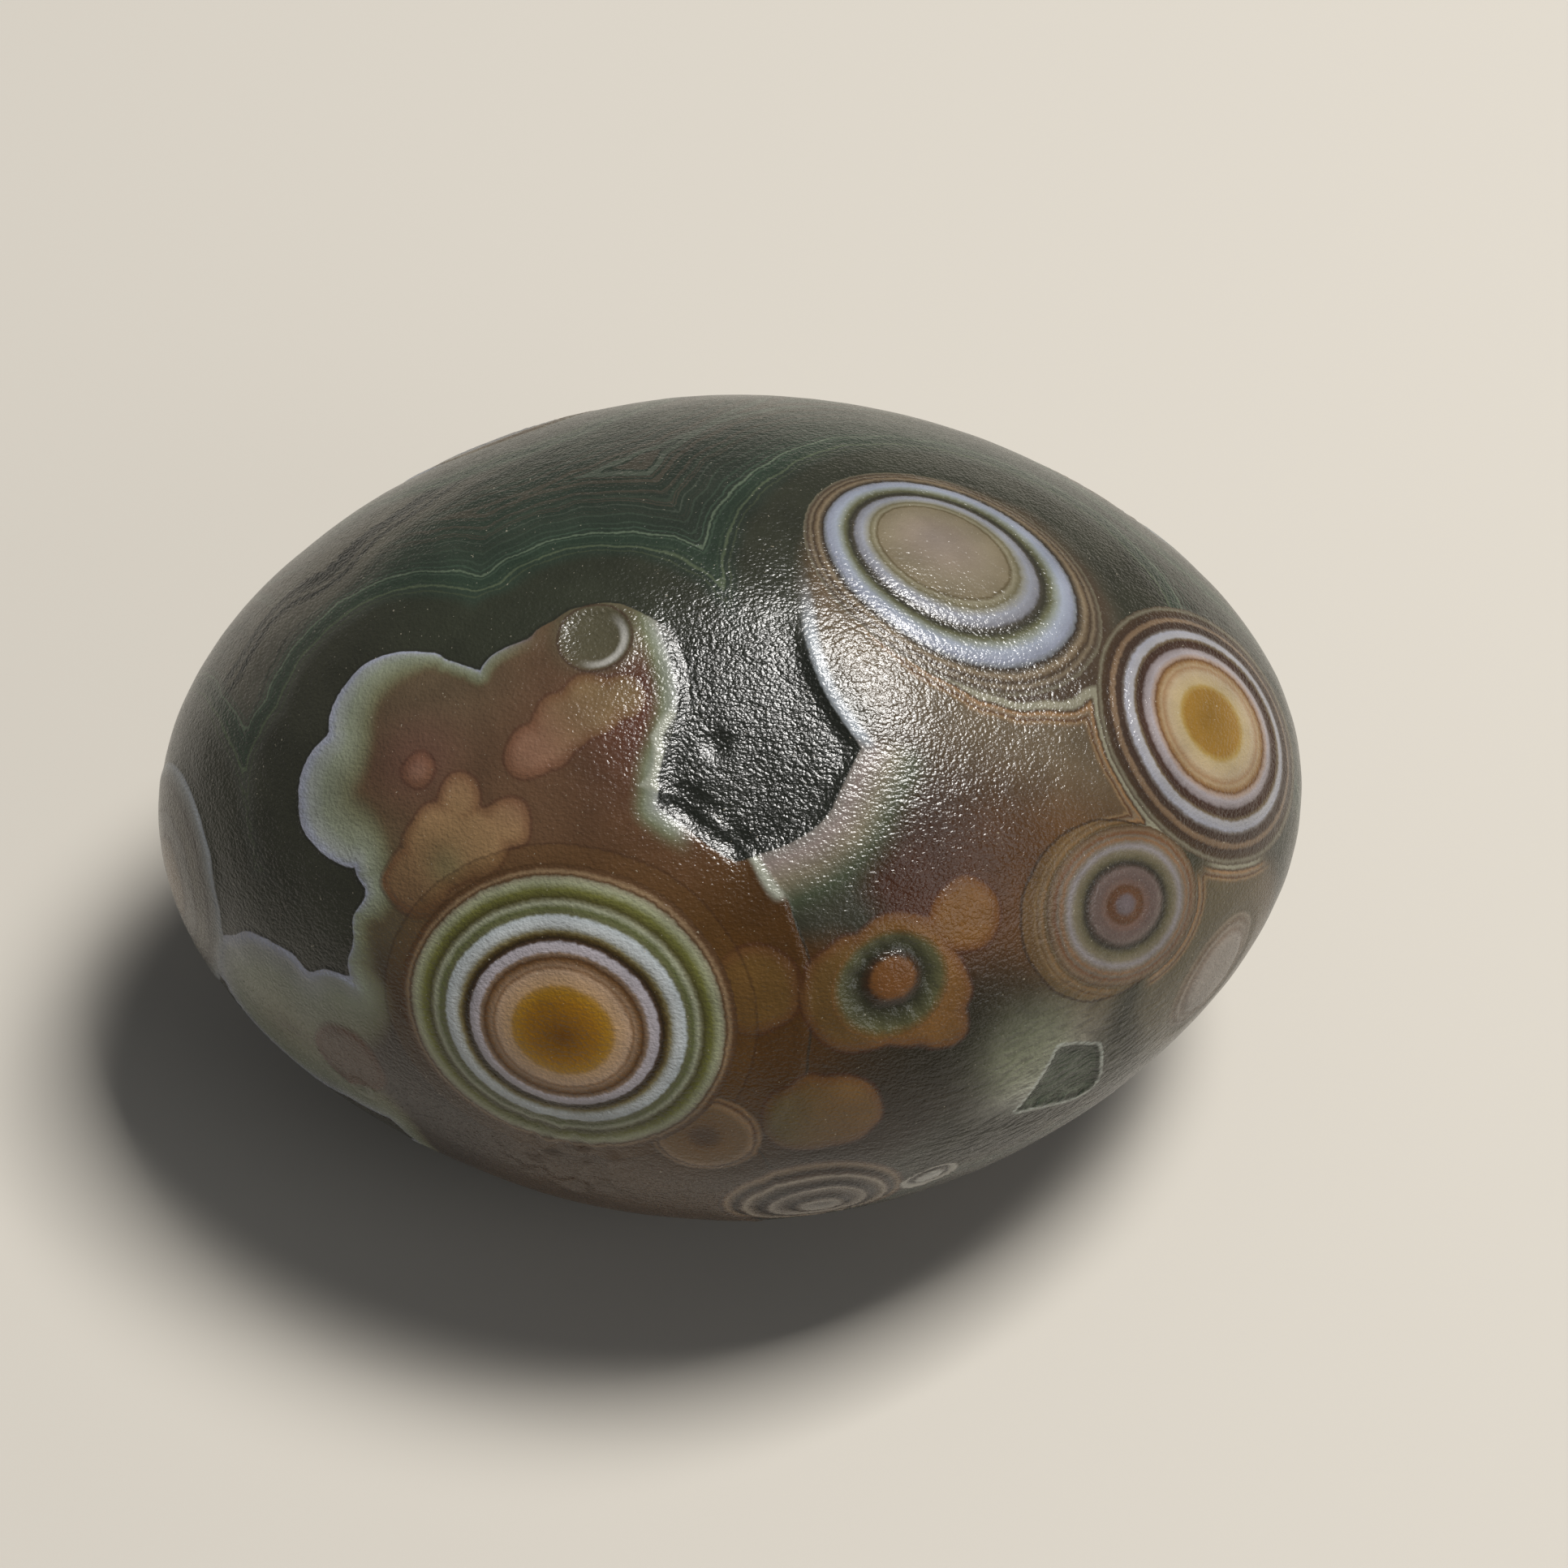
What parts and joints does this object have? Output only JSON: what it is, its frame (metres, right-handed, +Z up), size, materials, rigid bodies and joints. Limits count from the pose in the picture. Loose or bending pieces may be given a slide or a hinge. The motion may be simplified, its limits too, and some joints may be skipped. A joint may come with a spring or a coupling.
{
  "type": "eye agate",
  "caption": "Water-worn egg-shaped agate pebble with concentric eyes and flowing bands, lying on a small worn flat.",
  "frame": {"origin": "on the ground under the middle of the stone's bounding box", "axes": "+X along the stone's length towards the end with the amber eye, +Z up"},
  "size_m": [0.034, 0.026, 0.0214],
  "materials": {
    "chalcedony": "satin water-worn chalcedony with a fine frosted grain"
  },
  "bodies": {
    "root": {"agate_pebble": "chalcedony"}
  },
  "joints": []
}
